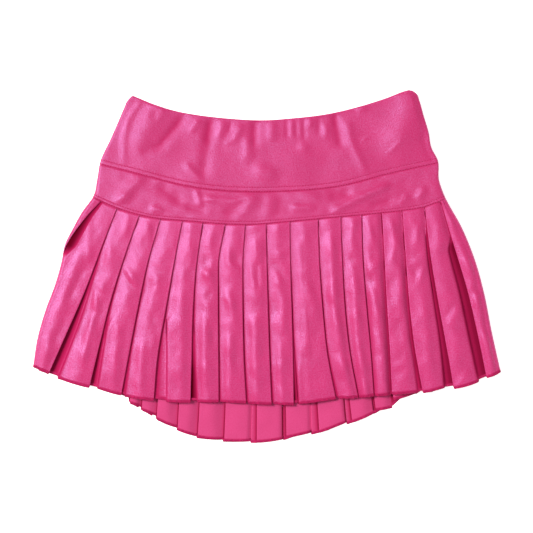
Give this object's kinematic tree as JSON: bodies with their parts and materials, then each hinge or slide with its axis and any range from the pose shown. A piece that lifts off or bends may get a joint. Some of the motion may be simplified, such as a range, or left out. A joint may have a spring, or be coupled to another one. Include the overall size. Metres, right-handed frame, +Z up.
{
  "type": "pleated skort",
  "caption": "Short knife-pleated satin skort with a high contoured waistband and hip yoke, cut longer behind, laid flat on its back with the front up.",
  "frame": {"origin": "on the table, under the middle of the garment's outline as it lies", "axes": "+X to the wearer's left, across the hem, the longest way; +Y from the hem to the waist; +Z up from the table, the thinnest way, out of the front of the garment"},
  "size_m": [0.546, 0.4104, 0.0114],
  "materials": {
    "satin": "bright pink satin weave with a soft sheen",
    "satin_inside": "the same satin seen from its matt wrong side",
    "jersey": "matt pink stretch jersey"
  },
  "bodies": {
    "root": {"waistband_front": "satin", "waistband_back": "satin", "yoke_front": "satin", "yoke_back": "satin", "skirt_front": "satin", "skirt_back": "satin_inside", "shorts_left": "jersey", "shorts_right": "jersey"}
  },
  "joints": []
}
